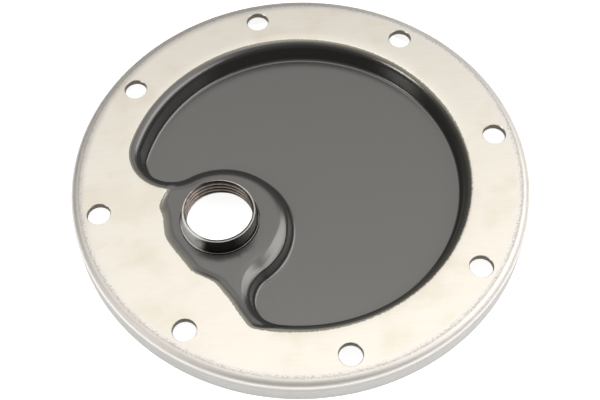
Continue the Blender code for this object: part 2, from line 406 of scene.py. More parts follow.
def rim_points(angle):
    """Rows round the bend and down the lip: a quarter circle, then a straight drop to the cut
    foot, with a shallow groove left by the forming tool."""
    bend = np.linspace(0.0, math.pi / 2, BEND_ROWS + 1)[1:]
    groove_low = LIP_GROOVE_HEIGHT - GROOVE_ROOM
    drop = np.concatenate([np.linspace(FLANGE_TOP - RIM_BEND, groove_low, 8)[1:],
                           np.linspace(groove_low, 0.0, 5)[1:]])
    groove = LIP_GROOVE_DEPTH * np.exp(-((drop - LIP_GROOVE_HEIGHT) / LIP_GROOVE_WIDTH) ** 2)
    radius = np.concatenate([PLATE_RADIUS - RIM_BEND * (1 - np.sin(bend)),
                             PLATE_RADIUS - groove])[:, None]
    height = np.concatenate([FLANGE_TOP - RIM_BEND * (1 - np.cos(bend)), drop])[:, None]
    return np.stack([radius * np.cos(angle), radius * np.sin(angle),
                     height + 0 * angle], axis=-1)


def plate_points():
    """The whole upper surface as one grid, with the dish and the land's dip pressed in. Both
    fade down the brow with the height above its lower end."""
    walls = []
    for out, height in (wall_rows(), ramped_wall_rows()):
        wall_x, wall_y = kidney(out)
        walls.append(np.stack([wall_x, wall_y, height[:, None] + 0 * wall_x], axis=-1))
    wall = walls[0] + (walls[1] - walls[0]) * ramp_share()
    angle = rim_angles()[None, :]
    flange = flange_points(wall_x[-1:], wall_y[-1:], angle)
    brow_low = FLANGE_TOP - BROW_FILLET * (1 - math.cos(WALL_LEAN))
    wall[..., 2] -= FLANGE_DISH * smooth_step(wall[..., 2], brow_low, FLANGE_TOP)
    points = np.concatenate([floor_points(wall_x[:1], wall_y[:1]), wall, flange,
                             rim_points(angle)])
    on_top = smooth_step(points[..., 2], brow_low, FLANGE_TOP - 0.1)
    points[..., 2] -= on_top * land_dip(points[..., 0], points[..., 1])
    return points


surface = plate_points()
print("grid of the plate:", surface.shape[:2], "lowest and highest", surface[..., 2].min(),
      surface[..., 2].max())

# %% [markdown]
# ## Sheet thickness and holes
# A pressing has the same thickness everywhere, so Solidify gives the surface its wall: it goes
# inward only, and the underside gets its own finish. The holes are drilled afterwards, as in
# the shop. Eight drills with a small countersink, and one for the neck, are turned shapes
# joined in one mesh, and one Boolean takes them all away.

# %% Turned shapes and the drilled sheet
DRILL_COLUMNS = 72
HOLE_CHAMFER = 0.14
DRILL_OVERRUN = 2.0
NECK_HOLE_RADIUS = 11.2
DRILLED_SLOT = 2
STEEP = 0.5


def turned_points(profile, centre_x=0.0, centre_y=0.0, columns=DRILL_COLUMNS):
    """A profile of (radius, height) rows spun about an upright axis: x = r cos a, y = r sin a."""
    profile = np.asarray(profile, float)
    angle = np.linspace(0.0, 2 * np.pi, columns, endpoint=False)[None, :]
    radius, height = profile[:, :1], profile[:, 1:]
    return np.stack([centre_x + radius * np.cos(angle), centre_y + radius * np.sin(angle),
                     height + 0 * angle], axis=-1)


def joined(pieces, name):
    """One mesh of several objects, which are used up."""
    with bpy.context.temp_override(active_object=pieces[0], selected_editable_objects=pieces):
        bpy.ops.object.join()
    pieces[0].name = name
    return pieces[0]


def clean(mesh, merge_distance=0.0):
    """Merge doubled points and turn the faces of a closed mesh outward."""
    work = bmesh.new()
    work.from_mesh(mesh)
    if merge_distance:
        bmesh.ops.remove_doubles(work, verts=work.verts, dist=merge_distance * MM)
    bmesh.ops.recalc_face_normals(work, faces=work.faces)
    work.to_mesh(mesh)
    work.free()


def drill(name, radius, x, y):
    """A drill as a closed spindle: a straight shank and a 45 degree flare above the face."""
    face = FLANGE_TOP - HOLE_CHAMFER
    tip = FLANGE_TOP - SHEET - DRILL_OVERRUN
    profile = [(0.0, tip), (radius, tip), (radius, face),
               (radius + DRILL_OVERRUN, face + DRILL_OVERRUN), (0.0, face + DRILL_OVERRUN)]
    made = new_piece(name, mesh_from_grid(name, turned_points(profile, x, y)))
    clean(made.data, merge_distance=0.001)
    return made


def apply_modifiers(piece):
    """Work the modifiers into a new mesh, which replaces the one the piece had."""
    graph = bpy.context.evaluated_depsgraph_get()
    mesh = bpy.data.meshes.new_from_object(piece.evaluated_get(graph), depsgraph=graph)
    piece.modifiers.clear()
    piece.data = mesh


def mark_drilled_walls(mesh):
    """Give the drilled slot to the steep faces inside the bolt holes: those closer to the middle
    of the nearest hole than the drill reached."""
    count = len(mesh.polygons)
    middle, normal = np.zeros(count * 3, np.float32), np.zeros(count * 3, np.float32)
    mesh.polygons.foreach_get("center", middle)
    mesh.polygons.foreach_get("normal", normal)
    x, y, _ = middle.reshape(-1, 3).T / MM
    pitch = 2 * np.pi / BOLT_COUNT
    angle = (np.floor(np.arctan2(y, x) / pitch) + 0.5) * pitch
    away = np.hypot(x - BOLT_CIRCLE_RADIUS * np.cos(angle), y - BOLT_CIRCLE_RADIUS * np.sin(angle))
    steep = np.abs(normal.reshape(-1, 3)[:, 2]) < STEEP
    slots = np.zeros(count, np.int32)
    mesh.polygons.foreach_get("material_index", slots)
    slots[steep & (away < BOLT_HOLE_RADIUS + 0.1)] = DRILLED_SLOT
    mesh.polygons.foreach_set("material_index", slots)


def make_plate():
    """The upper surface, thickened inward and drilled."""
    mesh = mesh_from_grid("cover_plate_sheet", plate_points())
    clean(mesh, merge_distance=0.002)
    if mesh.polygons[0].normal.z < 0:
        mesh.flip_normals()
    plate = new_piece("cover_plate_sheet", mesh)
    for _ in range(DRILLED_SLOT + 1):
        mesh.materials.append(None)
    wall = plate.modifiers.new("sheet", "SOLIDIFY")
    wall.thickness = SHEET * MM
    wall.offset = -1.0
    wall.use_even_offset = True
    wall.material_offset = 1
    wall.material_offset_rim = 1
    angles = (np.arange(BOLT_COUNT) + 0.5) * 2 * np.pi / BOLT_COUNT
    drills = [drill(f"drill_{k}", BOLT_HOLE_RADIUS, BOLT_CIRCLE_RADIUS * math.cos(a),
                    BOLT_CIRCLE_RADIUS * math.sin(a)) for k, a in enumerate(angles)]
    drills.append(drill("neck_drill", NECK_HOLE_RADIUS, -NECK_OFFSET, NECK_ACROSS))
    cutter = joined(drills, "drills")
    cut = plate.modifiers.new("holes", "BOOLEAN")
    cut.operation = "DIFFERENCE"
    cut.solver = "EXACT"
    cut.object = cutter
    apply_modifiers(plate)
    bpy.data.objects.remove(cutter)
    mark_drilled_walls(plate.data)
    return plate


plate = make_plate()
print("plate:", len(plate.data.polygons), "faces")

# %% [markdown]
# ## Where the coat lies
# The plate was coated all over and its flange was then ground bright. The grinding took the
# coat off whatever was level with the flange, so the coat begins a little way down the brow,
# and it covers the land, which lies too low to be reached. Each point of the mesh stores how
# far inside the coat it lies, as an attribute that the finish reads.

# %% Reach of the coat as an attribute
COAT_EDGE = 0.05
COAT_SHIFT = 0.85
MELT = 1.1
COAT_SHIFT_DIRECTION = math.radians(166.0)
COAT_FADE_DIRECTION = math.radians(-60.0)
COAT_FADE_MEAN = 1.25
COAT_FADE_SWING = 0.95
BOLT_STRIP = 3.0
DEEPEST_REACH = 10.0


def coat_reach(points):
    """Millimetres inside the coat: on the brow from the drop below the flange, since an arc falls
    by s^2 / (2 r) over a run of s, and on the land from the distance to its edge. The edge is
    shifted to one side as a whole, and it fades more slowly on another.
    The strip with the bolt holes and all outside it is bare. Where well and land meet, the
    larger one wins softly: melt * log(exp(a / melt) + exp(b / melt))."""
    x, y, z = points.T
    angle = np.arctan2(y, x)
    drop = np.maximum(FLANGE_TOP - land_dip(x, y) - z, 0.0)
    on_dish = -FLANGE_DISH_WIDTH * (1 - np.sqrt(np.minimum(drop / FLANGE_DISH, 1.0)))
    on_brow = np.sqrt(2 * BROW_FILLET * np.maximum(drop - FLANGE_DISH, 0.0))
    well = on_dish + on_brow + COAT_EDGE + COAT_SHIFT * np.cos(angle - COAT_SHIFT_DIRECTION)
    well /= COAT_FADE_MEAN + COAT_FADE_SWING * np.cos(angle - COAT_FADE_DIRECTION)
    well = np.where(np.hypot(x, y) < BOLT_CIRCLE_RADIUS - BOLT_STRIP, well, -FLANGE_DISH_WIDTH)
    land = np.minimum(land_reach(x, y), DEEPEST_REACH)
    return MELT * np.logaddexp(well / MELT, land / MELT)


def store(mesh, name, values):
    """Write one number for each point of the mesh."""
    layer = mesh.attributes.new(name, "FLOAT", "POINT")
    layer.data.foreach_set("value", values.astype(np.float32))


def mesh_points(mesh):
    """All points of a mesh in millimetres."""
    points = np.zeros(len(mesh.vertices) * 3, np.float32)
    mesh.vertices.foreach_get("co", points)
    return points.reshape(-1, 3).astype(float) / MM


reach = coat_reach(mesh_points(plate.data))
store(plate.data, "coat", reach)
plate.data.shade_smooth()
plate.data.set_sharp_from_angle(angle=math.radians(32))
print(f"coat covers {np.mean(reach > 0):.0%} of the points")

# %% [markdown]
# ## The threaded neck
# The neck is a turned bush. Outside it tapers to a thin rim, inside it carries a right-handed
# thread, and under the plate it ends in a collar with a conical seat. It is one closed grid:
# the rows follow the section of the wall, down the outside and up the bore, and the columns go
# round. In the bore the radius also depends on height minus turn, which winds the thread.

# %% Neck surface
NECK_COLUMNS = 208
THREAD_MAJOR = 10.0
THREAD_PITCH = 1.5
THREAD_MINOR = THREAD_MAJOR - 0.541 * THREAD_PITCH
NECK_RIM_RADIUS = THREAD_MAJOR + 0.1
NECK_BASE_RADIUS = THREAD_MAJOR + 0.9
SEAT_INNER_RADIUS = COLLAR_RADIUS - 1.6
LAND_TOP = FLANGE_TOP - LAND_DEPTH
FOOT_REACH = 0.3
FOOT_RISE = 0.35
RIM_EDGE = 0.12
COLLAR_TOP_EDGE = 0.25
COLLAR_LOW_EDGE = 0.2
ENTRY_INSET = 0.42
ENTRY_SLOPE = 0.5
SEAT_SLOPE = 1.2
CREST_SHARE = 0.22
FLANK_SHARE = 0.66


def rounded(centre_r, centre_z, radius, start, end, steps):
    """Rows on an arc from one angle to another: centre + radius * (cos a, sin a)."""
    angle = np.linspace(math.radians(start), math.radians(end), steps)
    return np.stack([centre_r + radius * np.cos(angle), centre_z + radius * np.sin(angle)], axis=1)


def straight(first, last, steps):
    """Evenly spaced rows from one (radius, height) point to another, the last one left out."""
    share = np.linspace(0.0, 1.0, steps, endpoint=False)[:, None]
    return np.asarray(first) * (1 - share) + np.asarray(last) * share


def neck_outside():
    """Rows down the outside: rim edge, taper, flared foot on the land, shank, collar."""
    foot_radius = NECK_BASE_RADIUS - FOOT_REACH
    taper_low = (foot_radius - 0.02, LAND_TOP + FOOT_RISE)
    foot = np.linspace(0.0, math.pi / 2, 9)
    foot_rows = np.stack([foot_radius + FOOT_REACH * (1 - np.cos(foot)),
                          LAND_TOP + 0.05 + FOOT_RISE * (1 - np.sin(foot))], axis=1)
    collar_top = FLANGE_TOP - SHEET - LAND_DEPTH
    return np.concatenate([
        rounded(NECK_RIM_RADIUS - RIM_EDGE, NECK_TOP - RIM_EDGE, RIM_EDGE, 90, 5, 5),
        straight((NECK_RIM_RADIUS, NECK_TOP - 0.3), taper_low, 14),
        foot_rows,
        [(NECK_BASE_RADIUS, LAND_TOP - 0.05), (NECK_BASE_RADIUS, collar_top),
         (COLLAR_RADIUS - COLLAR_TOP_EDGE, collar_top)],
        rounded(COLLAR_RADIUS - COLLAR_TOP_EDGE, collar_top - COLLAR_TOP_EDGE,
                COLLAR_TOP_EDGE, 90, 0, 4),
        rounded(COLLAR_RADIUS - COLLAR_LOW_EDGE, COLLAR_BOTTOM + COLLAR_LOW_EDGE,
                COLLAR_LOW_EDGE, 0, -90, 4),
    ])


def neck_bore():
    """Rows up the inside: seat, cone, straight bore and entry chamfer."""
    seat_top = COLLAR_BOTTOM + SEAT_SLOPE * (SEAT_INNER_RADIUS - THREAD_MINOR)
    entry = NECK_RIM_RADIUS - ENTRY_INSET
    entry_low = NECK_TOP - ENTRY_SLOPE * (entry - THREAD_MINOR)
    return np.concatenate([
        straight((SEAT_INNER_RADIUS, COLLAR_BOTTOM), (THREAD_MINOR, seat_top), 10),
        straight((THREAD_MINOR, seat_top), (THREAD_MINOR, entry_low), 92),
        straight((THREAD_MINOR, entry_low), (entry, NECK_TOP), 8),
        [(entry, NECK_TOP)],
    ])


def thread_depth(turn, height):
    """How far the thread is cut below its crest, 0 to 1: a flat crest, straight flanks and a
    narrow root, wound by one pitch a turn."""
    phase = np.mod(height / THREAD_PITCH - turn, 1.0)
    ridge = np.abs(2 * phase - 1)
    return np.clip((ridge - CREST_SHARE) / FLANK_SHARE, 0.0, 1.0)


def neck_points():
    """The neck as a closed grid. Only bore rows between the seat and the entry carry thread, and
    a row on a cone is cut no deeper than the thread's root."""
    outside, bore = neck_outside(), neck_bore()
    profile = np.concatenate([outside, bore])
    points = turned_points(profile, -NECK_OFFSET, NECK_ACROSS, NECK_COLUMNS)
    turn = np.arange(NECK_COLUMNS)[None, :] / NECK_COLUMNS
    radius, height = profile[:, :1], profile[:, 1:]
    inside = (np.arange(len(profile)) >= len(outside))[:, None]
    root = THREAD_MINOR + (THREAD_MAJOR - THREAD_MINOR) * thread_depth(turn, height)
    cut = np.where(inside, np.maximum(radius, root), radius)
    angle = 2 * np.pi * turn
    points[..., 0] = -NECK_OFFSET + cut * np.cos(angle)
    points[..., 1] = NECK_ACROSS + cut * np.sin(angle)
    return points


def make_neck():
    """The neck's closed surface, faces outward."""
    mesh = mesh_from_grid("threaded_neck_bush", neck_points(), rows_close=True)
    clean(mesh)
    mesh.shade_smooth()
    mesh.set_sharp_from_angle(angle=math.radians(28))
    return new_piece("threaded_neck_bush", mesh)


neck = make_neck()
print("neck:", len(neck.data.polygons), "faces")

# %% [markdown]
# ## The bead of weld
# The collar is held by one run of weld around it, under the plate. A weld freezes in small
# overlapping puddles, so its surface is a row of scallops that all lean the same way. The
# section is an ellipse tucked into the corner of sheet and collar, and a saw-like ripple that
# travels round the ring swells and sinks it.

# %% Weld bead surface
BEAD_COLUMNS = 480
BEAD_SECTION = 20
BEAD_RIPPLES = 46
RIPPLE_HEIGHT = 0.07
RIPPLE_POWER = 0.6
RIPPLE_MEAN = 0.6
BEAD_ROOM = 0.06


def bead_points():
    """A ring whose section is an ellipse. The ripple is phase ^ power less about its mean, once
    for each puddle: it rises quickly, then slowly, and fades over the puddle's last part. A
    slow drift, a sum of four sines of random size and start, makes the puddles unequal."""
    turn = np.arange(BEAD_COLUMNS)[None, :] / BEAD_COLUMNS
    around = (np.arange(BEAD_SECTION) / BEAD_SECTION * 2 * np.pi)[:, None]
    rng = np.random.default_rng(4)
    drift = sum(rng.uniform(0.1, 0.3) * np.sin(2 * np.pi * (k * turn + rng.uniform()))
                for k in (2, 3, 5, 7))
    phase = np.mod(BEAD_RIPPLES * turn + drift + 0.11 * np.sin(around), 1.0)
    ripple = RIPPLE_HEIGHT * (phase ** RIPPLE_POWER - RIPPLE_MEAN)
    ripple *= smooth_step(1 - phase, 0.0, 0.18)
    inner, top = COLLAR_RADIUS - 0.15, FLANGE_TOP - SHEET - LAND_DEPTH + 0.25
    middle_r, middle_z = (inner + BEAD_RADIUS) / 2, (top + BEAD_BOTTOM) / 2
    half_r = (BEAD_RADIUS - inner) / 2 - BEAD_ROOM
    half_z = (top - BEAD_BOTTOM) / 2 - BEAD_ROOM
    swell = 1 + ripple / half_z + 0.03 * drift
    radius = middle_r + half_r * swell * np.cos(around)
    height = middle_z + half_z * swell * np.sin(around)
    angle = 2 * np.pi * turn
    return np.stack([-NECK_OFFSET + radius * np.cos(angle), NECK_ACROSS + radius * np.sin(angle),
                     height], axis=-1)


def make_bead():
    """The bead's closed surface, faces outward."""
    mesh = mesh_from_grid("weld_bead_ring", bead_points(), rows_close=True)
    clean(mesh)
    mesh.shade_smooth()
    return new_piece("weld_bead_ring", mesh)


bead = make_bead()
print("bead:", len(bead.data.polygons), "faces")

# %% [markdown]
# ## Writing a finish as sums
# A finish is a network of nodes, and most of it is arithmetic on masks. A small class wraps a
# socket, so that 1 - mask or height * 0.3 + grain adds the Math nodes by itself. A second one
# stands for the tree and makes any other node from its type, settings and sockets.

# %% Sockets that can be added and multiplied


class Wire:
    """One output socket. Arithmetic on it adds a Math node and gives that node's output."""

    def __init__(self, graph, socket):
        self.graph = graph
        self.socket = socket

    def math(self, operation, *others):
        """Any operation of the Math node, with this socket as its first value."""
        return self.graph.math(operation, self, *others)

    def __add__(self, other):
        return self.math("ADD", other)

    def __sub__(self, other):
        return self.math("SUBTRACT", other)

    def __rsub__(self, other):
        return self.graph.math("SUBTRACT", other, self)

    def __mul__(self, other):
        return self.math("MULTIPLY", other)

    def __truediv__(self, other):
        return self.math("DIVIDE", other)

    __radd__ = __add__
    __rmul__ = __mul__


class Graph:
    """The node tree of one finish, or of the room's light."""

    def __init__(self, tree):
        self.tree = tree
        tree.nodes.clear()

    def node(self, kind, settings=None, sockets=None, output=0):
        """Make a node: its settings first, then the values or links of its sockets."""
        made = self.tree.nodes.new(kind)
        for name, value in (settings or {}).items():
            if name == "stops":
                self.set_stops(made.color_ramp, value)
            else:
                setattr(made, name, value)
        for key, value in (sockets or {}).items():
            if isinstance(value, Wire):
                self.tree.links.new(value.socket, made.inputs[key])
            else:
                made.inputs[key].default_value = value
        return Wire(self, made.outputs[output]) if made.outputs else None

    @staticmethod
    def set_stops(ramp, stops):
        """Places and colours of a colour ramp's stops."""
        while len(ramp.elements) < len(stops):
            ramp.elements.new(0.5)
        for element, (position, colour) in zip(ramp.elements, stops):
            element.position = position
            element.color = (*colour, 1.0)

    def math(self, operation, *values):
        """A Math node on sockets and numbers."""
        return self.node("ShaderNodeMath", {"operation": operation}, dict(enumerate(values)))

    def step(self, value, low, high):
        """A mask that rises smoothly from 0 to 1 between low and high."""
        return self.node("ShaderNodeMapRange", {"interpolation_type": "SMOOTHSTEP"},
                         {"Value": value, "From Min": low, "From Max": high})

    def band(self, value, low, high, fall_low, fall_high):
        """A mask that rises between the first two values and falls between the last two."""
        return self.step(value, low, high) * (1 - self.step(value, fall_low, fall_high))

    @staticmethod
    def distance(x, y):
        """Distance from the origin: the square root of x^2 + y^2."""
        return (x * x + y * y).math("SQRT")

    @staticmethod
    def toward(x, y, direction):
        """How far a point lies in a direction: x cos a + y sin a."""
        return x * math.cos(direction) + y * math.sin(direction)

    @staticmethod
    def solid(colour):
        """A colour as a socket takes it: a link as it is, three numbers with a fourth for cover."""
        return colour if isinstance(colour, Wire) else (*colour, 1.0)

    def mix(self, share, first, second):
        """Colour that goes from first to second as share goes from 0 to 1."""
        return self.node("ShaderNodeMix", {"data_type": "RGBA"},
                         {0: share, 6: self.solid(first), 7: self.solid(second)}, output=2)

    def shade(self, colour, amount):
        """Colour multiplied by a number that varies."""
        grey = self.node("ShaderNodeCombineColor", {}, {0: amount, 1: amount, 2: amount})
        return self.node("ShaderNodeMix", {"data_type": "RGBA", "blend_type": "MULTIPLY"},
                         {0: 1.0, 6: self.solid(colour), 7: grey}, output=2)

    def point(self, stretch=(1.0, 1.0, 1.0), turn=0.0, origin=(0.0, 0.0, 0.0)):
        """Object coordinates in millimetres, from an origin, turned about Z and then stretched."""
        place = self.node("ShaderNodeTexCoord", output="Object")
        shifted = self.node("ShaderNodeMapping", {"vector_type": "TEXTURE"},
                            {"Vector": place, "Location": tuple(MM * v for v in origin),
                             "Rotation": (0.0, 0.0, turn), "Scale": (MM, MM, MM)})
        return self.node("ShaderNodeVectorMath", {"operation": "MULTIPLY"},
                         {0: shifted, 1: stretch})

    def axes(self, vector):
        """The three numbers of a vector."""
        split = self.node("ShaderNodeSeparateXYZ", {}, {0: vector}).socket.node
        return [Wire(self, out) for out in split.outputs]

    def noise(self, vector, scale, detail=3.0, roughness=0.55):
        """Cloudy values between 0 and 1, about one cloud in each 1 / scale millimetres."""
        return self.node("ShaderNodeTexNoise", {}, {"Vector": vector, "Scale": scale,
                                                    "Detail": detail, "Roughness": roughness})

    def attribute(self, name):
        """A number stored on the mesh."""
        return self.node("ShaderNodeAttribute", {"attribute_name": name}, output="Fac")

    def bump(self, height, distance):
        """A normal tilted by a height in millimetres times distance."""
        return self.node("ShaderNodeBump", {},
                         {"Height": height, "Strength": 1.0, "Distance": distance * MM})


def new_finish(name):
    """A material with an empty tree, and the graph that fills it."""
    material = bpy.data.materials.new(name)
    material.use_nodes = True
    return material, Graph(material.node_tree)


def close_finish(graph, **sockets):
    """End a finish with its surface shader."""
    named = {key.replace("_", " ").title(): value for key, value in sockets.items()}
    shader = graph.node("ShaderNodeBsdfPrincipled", {}, named)
    graph.node("ShaderNodeOutputMaterial", {}, {"Surface": shader})


# %% [markdown]
# ## The top of the plate: ground steel
# Two finishes share one surface, steel and coat. The flange is steel ground flat, pale and
# warm, with faint straight scratches and cloudy patches. Towards the rim it turns pinker and
# pitted where the grinding faded out, with painted shade on one side, and the lip below the bend
# is greyer, with a painted dark reflection where the bend ends. Each of these is a
# colour laid over the one before by a mask, so each is a function that takes the steel so far.

# %% Steel of the flange
GRIND_DIRECTION = math.radians(-30.0)
# the side of the rim that gets painted shade
SHADED_SIDE = math.pi / 2 + 0.15
STEEL_WARM = (0.885, 0.838, 0.752)
STEEL_CLOUD = (0.83, 0.775, 0.66)
STEEL_PINK = (0.88, 0.85, 0.815)
RIM_BROWN = (0.44, 0.385, 0.34)
# dark of the lip's dashes and of the painted dark reflection at the bend's end
RIM_DASHES_AND_PAINTED_REFLECTION = (0.36, 0.33, 0.30)
LIP_GREY = (0.48, 0.473, 0.463)


def ground_steel(graph, place, patch, streak, fine_streak):
    """Warm steel with duller clouds, lighter and darker along the marks of the grinding."""
    cloud = graph.noise(place, 0.075, 4.0)
    steel = graph.mix(graph.step(cloud, 0.46, 0.7), STEEL_WARM, STEEL_CLOUD)
    marks = 0.13 * (streak - 0.5) + 0.09 * (fine_streak - 0.5)
    return graph.shade(steel, 0.95 + 0.06 * patch + marks)


def with_rim(graph, steel, bearing, past_bend, rim, pits):
    """Pink pitted steel near the rim, a ring of brown specks, and a brown line where the bend
    begins. past_bend is the distance outward from there; bearing is 1 on the shaded side,
    where the pink is darkened and the brown line strengthened as painted shade."""
    # painted shade: on the shaded side the pink is darker and the brown line stronger
    shaded = graph.step(bearing, 0.2, 0.9)
    pink = graph.shade(STEEL_PINK, 0.9 + 0.2 * pits - 0.26 * shaded)
    steel = graph.mix(rim * 0.8, steel, pink)
    specks = graph.band(past_bend, -1.4, -0.6, -0.1, 0.4) * graph.step(pits, 0.5, 0.58)
    steel = graph.mix(specks * 0.75, steel, RIM_BROWN)
    brown = graph.step(past_bend + (pits - 0.5) * 0.3, -0.6, -0.35)
    brown *= 1 - graph.step(past_bend, 0.0, 0.3)
    return graph.mix(brown * (0.1 + 0.55 * pits + 0.3 * shaded), steel, RIM_BROWN)


def with_lip(graph, steel, z, past_bend, patch, patch_fine, pits):
    """Grey lip, a painted dark reflection as a line at the low end of the bend, and dark dashes
    near the lip's foot.
    """
    drop = FLANGE_TOP - z
    outside = graph.step(past_bend, 0.7, 1.7)
    lip = graph.step(drop, 1.5, 2.2) * outside
    steel = graph.mix(lip, steel, graph.shade(LIP_GREY, 0.82 + 0.2 * patch + 0.16 * patch_fine))
    # painted dark reflection: a dark line where the bend ends
    line = graph.band(drop + (pits - 0.5) * 0.35, 1.5, 1.62, 1.68, 1.85) * outside
    steel = graph.mix(line * 0.75, steel, RIM_DASHES_AND_PAINTED_REFLECTION)
    dashes = graph.band(z, 0.7, 0.85, 0.95, 1.15) * graph.step(patch_fine, 0.48, 0.56) * outside
    return graph.mix(dashes * 0.5, steel, RIM_DASHES_AND_PAINTED_REFLECTION)


print(f"the rim begins to bend {BEND_START:.1f} from the middle")

# %% [markdown]
# ## The dark coat
# The coat is a dark satin film with a fine grain. It is thinner and browner along its edge,
# and a darker band follows the edge on the land. In front of the neck a painted reflection of
# the neck lies on it as dark rays that run outward.

# %% Colour of the coat
COAT_GREY = (0.165, 0.162, 0.156)
COAT_THIN = (0.27, 0.258, 0.22)
NECK_FOOT = (-NECK_OFFSET, NECK_ACROSS, 0.0)
FRONT = math.radians(-115.0)
RAYS = 9.0


def painted_neck_reflection(graph, drop):
    """A mask of rays for the painted reflection of the neck in the coat: noise read on a circle of
    bearings about the neck, so that it changes quickly round the neck and slowly outward. It lies
    only in front of the neck and where the sheet is below the flange's level."""
    x, y, _ = graph.axes(graph.point(origin=NECK_FOOT))
    away = graph.distance(x, y)
    circle = graph.node("ShaderNodeCombineXYZ", {},
                        {0: x / away * RAYS, 1: y / away * RAYS, 2: away * 0.3})
    ray = graph.noise(circle, 1.0, 3.0)
    near = 1 - graph.step(away + (ray - 0.5) * 3.0, 11.4, 13.8)
    front = graph.step(graph.toward(x, y, FRONT) / away, 0.6, 0.97)
    return near * front * graph.step(drop, -0.1, 0.1)


def coat_colour(graph, reach, drop, ruffle, grain, painted_reflection):
    """Grey, thin near the edge, darker in the band along the land's edge and in the painted
    reflection of the neck.
    """
    thin = 1 - graph.step(reach + ruffle * 0.8, 0.4, 1.9)
    # a darker band just inside the land's edge
    dark_edge_band = graph.band(reach, 1.7, 2.1, 2.3, 2.9) * (1 - graph.step(drop, 0.4, 0.6))
    coat = graph.mix(thin, COAT_GREY, COAT_THIN)
    return graph.shade(coat, 0.9 + 0.2 * grain - 0.22 * dark_edge_band - 0.45 * painted_reflection)


# %% [markdown]
# ## Steel and coat in one finish
# One mask, read from the stored reach and ruffled by noise, decides which of the two a point
# shows. The same mask mixes their roughness, and lets the scratches lift only the steel.

# %% Finish of the plate's top


def plate_top_finish():
    """Ground steel, pitted rim, lip and dark coat in one material."""
    material, graph = new_finish("ground_and_coated_steel")
    place = graph.point()
    x, y, z = graph.axes(place)
    radius = graph.distance(x, y)
    past_bend = radius - BEND_START
    drop = FLANGE_TOP - z
    streak = graph.noise(graph.point((0.06, 2.6, 1.0), GRIND_DIRECTION), 1.0, 5.0, 0.7)
    fine_streak = graph.noise(graph.point((0.12, 9.0, 1.0), GRIND_DIRECTION), 1.0, 2.0)
    patch = graph.noise(place, 0.16, 4.0)
    patch_fine = graph.noise(place, 0.5, 3.0)
    pits = graph.noise(place, 2.6, 5.0, 0.7)
    grain = graph.noise(place, 3.2, 3.0, 0.6)
    ruffle = graph.noise(place, 1.4, 4.0) - 0.5

    rim = graph.step(past_bend + (patch - 0.5) * 1.2, -2.5, -0.8)
    # bearing picks the side where the rim gets painted shade
    bearing = graph.toward(x, y, SHADED_SIDE) / radius
    steel = ground_steel(graph, place, patch, streak, fine_streak)
    steel = with_rim(graph, steel, bearing, past_bend, rim, pits)
    steel = with_lip(graph, steel, z, past_bend, patch, patch_fine, pits)

    reach = graph.attribute("coat")
    coated = graph.step(reach + ruffle * 0.5, -0.1, 0.14)
    # painted reflection of the neck: dark rays on the coat in front of it
    painted_reflection = painted_neck_reflection(graph, drop)
    coat = coat_colour(graph, reach, drop, ruffle, grain, painted_reflection)

    bend_rough = 0.16 * graph.step(past_bend, -0.2, 0.8)
    steel_rough = 0.27 + 0.1 * patch + 0.06 * streak + 0.04 * rim + bend_rough
    coat_rough = 0.19 + 0.1 * grain + 0.12 * painted_reflection
    scratches = streak * 0.35 + fine_streak * 0.3 + pits * rim * 0.9
    height = scratches * (1 - coated) + grain * coated * 0.4
    close_finish(graph, base_color=graph.mix(coated, steel, coat), metallic=1 - 0.2 * coated,
                 roughness=steel_rough + (coat_rough - steel_rough) * coated,
                 normal=graph.bump(height, 0.01))
    return material


plate_top = plate_top_finish()
print("finish:", plate_top.name, len(plate_top.node_tree.nodes), "nodes")

# %% [markdown]
# ## The underside of the plate
# Nobody grinds the underside, so it keeps its coat everywhere, duller than in the well, with
# scuffs where it has been slid about. The inside of the lip is bare metal.

# %% Finish of the underside
UNDER_DARK = (0.12, 0.118, 0.112)
UNDER_PALE = (0.17, 0.165, 0.155)
BARE_STEEL = (0.90, 0.895, 0.88)
SCUFF_DIRECTION = 0.6


def underside_finish():
    """Dull coat, scuffed, with bare steel inside the lip and at its foot."""
    material, graph = new_finish("dull_coated_underside")
    place = graph.point()
    x, y, _ = graph.axes(place)
    grain = graph.noise(place, 2.2, 4.0, 0.6)
    cloud = graph.noise(place, 0.12, 4.0)
    scuff = graph.noise(graph.point((0.35, 3.0, 1.0), SCUFF_DIRECTION), 1.0, 5.0, 0.7)
    worn = graph.step(graph.distance(x, y) - BEND_START + grain * 0.8, -1.2, 0.0)
    bare = graph.step(scuff, 0.66, 0.74) * graph.step(cloud, 0.45, 0.6) * 0.5
    colour = graph.shade(graph.mix(cloud, UNDER_DARK, UNDER_PALE), 0.85 + 0.3 * grain)
    colour = graph.mix(bare, graph.mix(worn, colour, BARE_STEEL), LIP_GREY)
    shown = 1 - (1 - worn) * (1 - bare)
    close_finish(graph, base_color=colour, metallic=1.0, roughness=0.5 - 0.15 * shown,
                 normal=graph.bump(grain + scuff * 0.4, 0.012))
    return material


underside = underside_finish()
print("finish:", underside.name)

# %% [markdown]
# ## The walls of the bolt holes
# The drill left fine rings, and oil has browned them since.

# %% Finish of the drilled walls
DRILLED_PALE = (0.26, 0.22, 0.18)
DRILLED_BROWN = (0.16, 0.135, 0.115)


def drilled_finish():
    """Brown-grey drilled steel with fine level rings."""
    material, graph = new_finish("drilled_steel")
    ring = graph.noise(graph.point((0.3, 0.3, 6.0)), 1.0, 3.0)
    stain = graph.noise(graph.point(), 0.9, 3.0)
    colour = graph.shade(graph.mix(stain, DRILLED_PALE, DRILLED_BROWN), 0.75 + 0.5 * ring)
    close_finish(graph, base_color=colour, metallic=0.6, roughness=0.55 + 0.15 * stain,
                 normal=graph.bump(ring, 0.02))
    return material


drilled = drilled_finish()
print("finish:", drilled.name)

